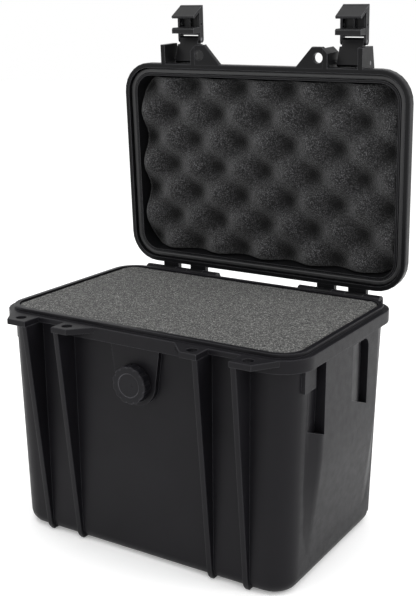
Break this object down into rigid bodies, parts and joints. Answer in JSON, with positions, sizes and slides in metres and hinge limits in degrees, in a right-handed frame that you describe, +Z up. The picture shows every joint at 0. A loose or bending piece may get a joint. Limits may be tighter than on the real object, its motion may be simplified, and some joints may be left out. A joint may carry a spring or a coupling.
{
  "type": "hard equipment case",
  "caption": "Tall moulded hard case with a hinged lid standing open, foam-filled base, egg-crate lid foam, two lever latches and a round purge valve knob.",
  "frame": {"origin": "centre of the flat underside of the base, on the floor plane", "axes": "+X to the case's right seen from the latch side, -Y towards the latch side, +Z up"},
  "size_m": [0.27, 0.2315, 0.4191],
  "materials": {
    "shell": "fine matt moulded grain",
    "lid": "fine matt moulded grain",
    "latch": "smooth satin",
    "knob": "fine matt grain",
    "seal": "soft satin",
    "membrane": "matt",
    "pin_steel": "blackened steel",
    "base_foam": "open-cell foam, matt",
    "lid_foam": "convoluted open-cell foam, matt"
  },
  "bodies": {
    "base": {"base_shell": "shell", "base_foam_top": "base_foam", "base_foam_middle": "base_foam", "base_foam_bottom": "base_foam", "hinge_pin_left": "pin_steel", "hinge_pin_right": "pin_steel", "purge_membrane": "membrane"},
    "lid": {"lid_shell": "lid", "lid_gasket": "seal", "lid_foam": "lid_foam", "latch_left_pivot_pin": "pin_steel", "latch_right_pivot_pin": "pin_steel"},
    "purge_seal": {"purge_oring": "seal"},
    "purge_grip": {"purge_knob": "knob"},
    "latch_left_arm": {"latch_left_link": "latch", "latch_left_lever_pin": "pin_steel"},
    "latch_left_grip": {"latch_left_lever": "latch"},
    "latch_right_arm": {"latch_right_link": "latch", "latch_right_lever_pin": "pin_steel"},
    "latch_right_grip": {"latch_right_lever": "latch"}
  },
  "joints": [
    {"name": "lid_hinge", "type": "hinge", "parent": "base", "child": "lid", "pos_m": [0, 0.0974, 0.183], "axis": [1, 0, 0], "range_deg": [-18, 87]},
    {"name": "latch_left_swing", "type": "hinge", "parent": "lid", "child": "latch_left_arm", "pos_m": [-0.0775, 0.10741, 0.37419], "axis": [1, 0, 0], "range_deg": [-15, 90]},
    {"name": "latch_left_press", "type": "hinge", "parent": "latch_left_arm", "child": "latch_left_grip", "pos_m": [-0.0775, 0.11256, 0.39048], "axis": [1, 0, 0], "range_deg": [-60, 0]},
    {"name": "latch_right_swing", "type": "hinge", "parent": "lid", "child": "latch_right_arm", "pos_m": [0.0775, 0.10741, 0.37419], "axis": [1, 0, 0], "range_deg": [-15, 90]},
    {"name": "latch_right_press", "type": "hinge", "parent": "latch_right_arm", "child": "latch_right_grip", "pos_m": [0.0775, 0.11256, 0.39048], "axis": [1, 0, 0], "range_deg": [-60, 0]},
    {"name": "purge_lift", "type": "slide", "parent": "base", "child": "purge_seal", "axis": [0, -1, 0], "range_m": [0, 0.0015]},
    {"name": "purge_turn", "type": "hinge", "parent": "purge_seal", "child": "purge_grip", "pos_m": [0, -0.09, 0.1485], "axis": [0, -1, 0], "range_deg": [0, 360]}
  ],
  "couplings": [
    {"joint": "purge_turn", "follows": "purge_lift", "rad_per_m": 4188.4}
  ]
}
